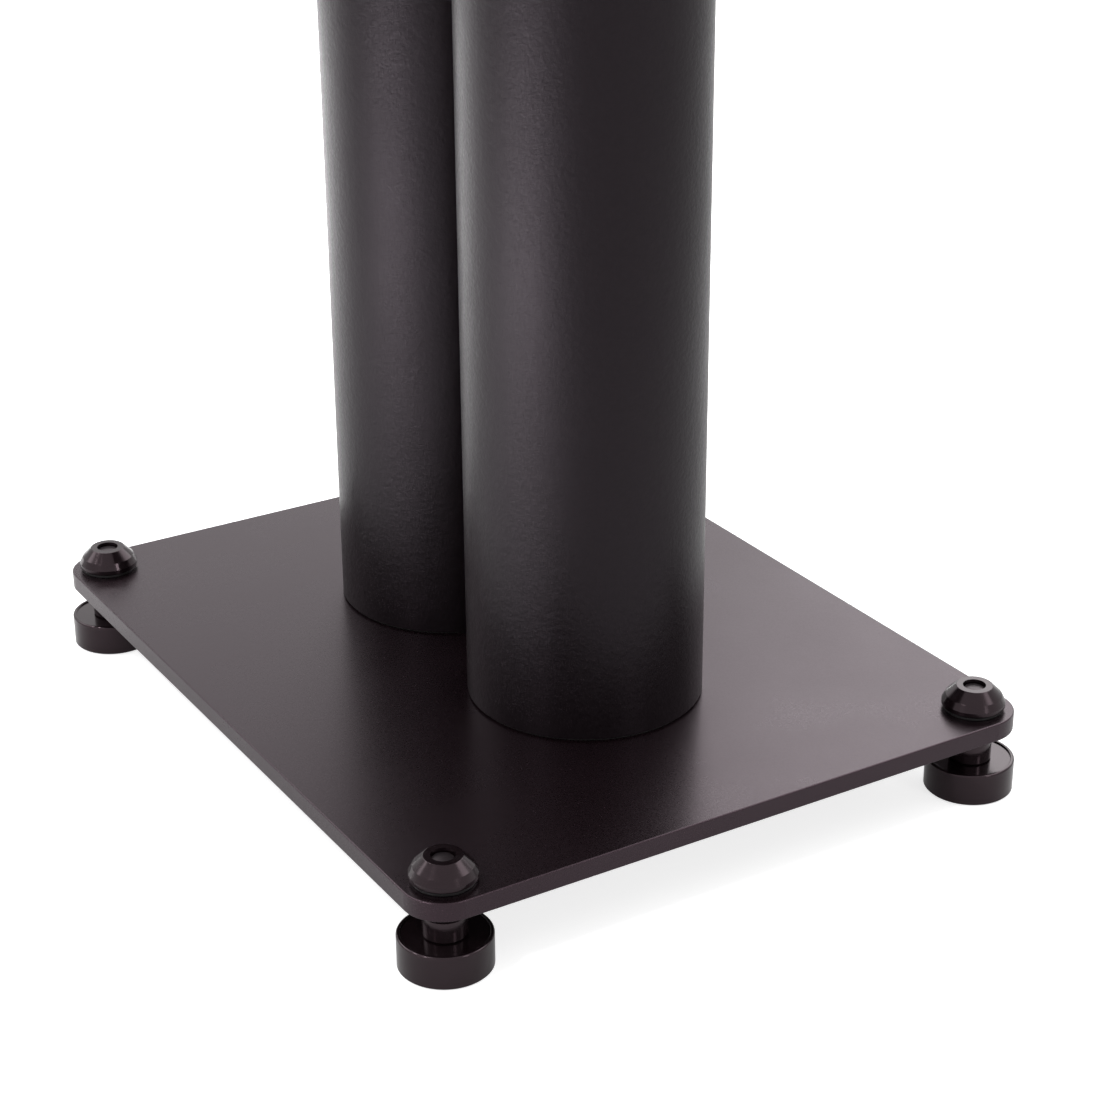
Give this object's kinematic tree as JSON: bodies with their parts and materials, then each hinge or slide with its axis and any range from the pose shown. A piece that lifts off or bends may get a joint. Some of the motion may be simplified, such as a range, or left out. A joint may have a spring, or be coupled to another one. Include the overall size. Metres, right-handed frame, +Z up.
{
  "type": "speaker stand",
  "caption": "Loudspeaker stand with a flat base plate on screw-adjustable levelling feet, round columns in line and a flat top plate.",
  "frame": {"origin": "centre of the stand's footprint on the floor, under the middle of the base plate", "axes": "+Z up; Y along the base plate's long side, through both columns, with the front at -Y; X across the stand"},
  "size_m": [0.2214, 0.2744, 0.61],
  "materials": {
    "plate_coat": "satin black powder coat",
    "column_coat": "satin black coat with a fine grain",
    "turned_black": "gloss black plating on turned steel",
    "rubber": "matte",
    "nylon": "matte black nylon",
    "black_steel": "black oxide",
    "bare_steel": "turned, bare"
  },
  "bodies": {
    "stand_frame": {"base_plate": "plate_coat", "top_plate": "plate_coat", "front_column": "column_coat", "front_column_lower_plug": "bare_steel", "front_column_lower_gasket": "rubber", "front_column_lower_screw": "black_steel", "front_column_upper_plug": "bare_steel", "front_column_upper_gasket": "rubber", "front_column_upper_screw": "black_steel", "rear_column": "column_coat", "rear_column_lower_plug": "bare_steel", "rear_column_lower_gasket": "rubber", "rear_column_lower_screw": "black_steel", "rear_column_upper_plug": "bare_steel", "rear_column_upper_gasket": "rubber", "rear_column_upper_screw": "black_steel"},
    "front_left_foot_base": {"front_left_foot_disc": "turned_black", "front_left_foot_pad": "rubber"},
    "front_left_stud": {"front_left_foot_stud": "turned_black"},
    "front_left_washer": {"front_left_lock_washer": "nylon"},
    "front_left_nut": {"front_left_lock_nut": "turned_black"},
    "front_right_foot_base": {"front_right_foot_disc": "turned_black", "front_right_foot_pad": "rubber"},
    "front_right_stud": {"front_right_foot_stud": "turned_black"},
    "front_right_washer": {"front_right_lock_washer": "nylon"},
    "front_right_nut": {"front_right_lock_nut": "turned_black"},
    "rear_left_foot_base": {"rear_left_foot_disc": "turned_black", "rear_left_foot_pad": "rubber"},
    "rear_left_stud": {"rear_left_foot_stud": "turned_black"},
    "rear_left_washer": {"rear_left_lock_washer": "nylon"},
    "rear_left_nut": {"rear_left_lock_nut": "turned_black"},
    "rear_right_foot_base": {"rear_right_foot_disc": "turned_black", "rear_right_foot_pad": "rubber"},
    "rear_right_stud": {"rear_right_foot_stud": "turned_black"},
    "rear_right_washer": {"rear_right_lock_washer": "nylon"},
    "rear_right_nut": {"rear_right_lock_nut": "turned_black"}
  },
  "joints": [
    {"name": "front_left_foot_height", "type": "slide", "parent": "stand_frame", "child": "front_left_foot_base", "axis": [0, 0, -1], "range_m": [-0.0034, 0.0024]},
    {"name": "front_left_stud_turn", "type": "hinge", "parent": "front_left_foot_base", "child": "front_left_stud", "pos_m": [-0.0965, -0.123, 0.005], "axis": [0, 0, -1], "range_deg": [-1010, 720]},
    {"name": "front_left_nut_lift", "type": "slide", "parent": "stand_frame", "child": "front_left_washer", "axis": [0, 0, 1], "range_m": [0, 0.0026]},
    {"name": "front_left_nut_turn", "type": "hinge", "parent": "front_left_washer", "child": "front_left_nut", "pos_m": [-0.0965, -0.123, 0.0292], "axis": [0, 0, 1], "range_deg": [0, 720]},
    {"name": "front_right_foot_height", "type": "slide", "parent": "stand_frame", "child": "front_right_foot_base", "axis": [0, 0, -1], "range_m": [-0.0034, 0.0024]},
    {"name": "front_right_stud_turn", "type": "hinge", "parent": "front_right_foot_base", "child": "front_right_stud", "pos_m": [0.0965, -0.123, 0.005], "axis": [0, 0, -1], "range_deg": [-1010, 720]},
    {"name": "front_right_nut_lift", "type": "slide", "parent": "stand_frame", "child": "front_right_washer", "axis": [0, 0, 1], "range_m": [0, 0.0026]},
    {"name": "front_right_nut_turn", "type": "hinge", "parent": "front_right_washer", "child": "front_right_nut", "pos_m": [0.0965, -0.123, 0.0292], "axis": [0, 0, 1], "range_deg": [0, 720]},
    {"name": "rear_left_foot_height", "type": "slide", "parent": "stand_frame", "child": "rear_left_foot_base", "axis": [0, 0, -1], "range_m": [-0.0034, 0.0024]},
    {"name": "rear_left_stud_turn", "type": "hinge", "parent": "rear_left_foot_base", "child": "rear_left_stud", "pos_m": [-0.0965, 0.123, 0.005], "axis": [0, 0, -1], "range_deg": [-1010, 720]},
    {"name": "rear_left_nut_lift", "type": "slide", "parent": "stand_frame", "child": "rear_left_washer", "axis": [0, 0, 1], "range_m": [0, 0.0026]},
    {"name": "rear_left_nut_turn", "type": "hinge", "parent": "rear_left_washer", "child": "rear_left_nut", "pos_m": [-0.0965, 0.123, 0.0292], "axis": [0, 0, 1], "range_deg": [0, 720]},
    {"name": "rear_right_foot_height", "type": "slide", "parent": "stand_frame", "child": "rear_right_foot_base", "axis": [0, 0, -1], "range_m": [-0.0034, 0.0024]},
    {"name": "rear_right_stud_turn", "type": "hinge", "parent": "rear_right_foot_base", "child": "rear_right_stud", "pos_m": [0.0965, 0.123, 0.005], "axis": [0, 0, -1], "range_deg": [-1010, 720]},
    {"name": "rear_right_nut_lift", "type": "slide", "parent": "stand_frame", "child": "rear_right_washer", "axis": [0, 0, 1], "range_m": [0, 0.0026]},
    {"name": "rear_right_nut_turn", "type": "hinge", "parent": "rear_right_washer", "child": "rear_right_nut", "pos_m": [0.0965, 0.123, 0.0292], "axis": [0, 0, 1], "range_deg": [0, 720]}
  ],
  "couplings": [
    {"joint": "front_left_stud_turn", "follows": "front_left_foot_height", "rad_per_m": 5026.5},
    {"joint": "front_left_nut_lift", "follows": "front_left_nut_turn", "m_per_rad": 0.00019894},
    {"joint": "front_right_stud_turn", "follows": "front_right_foot_height", "rad_per_m": 5026.5},
    {"joint": "front_right_nut_lift", "follows": "front_right_nut_turn", "m_per_rad": 0.00019894},
    {"joint": "rear_left_stud_turn", "follows": "rear_left_foot_height", "rad_per_m": 5026.5},
    {"joint": "rear_left_nut_lift", "follows": "rear_left_nut_turn", "m_per_rad": 0.00019894},
    {"joint": "rear_right_stud_turn", "follows": "rear_right_foot_height", "rad_per_m": 5026.5},
    {"joint": "rear_right_nut_lift", "follows": "rear_right_nut_turn", "m_per_rad": 0.00019894}
  ]
}
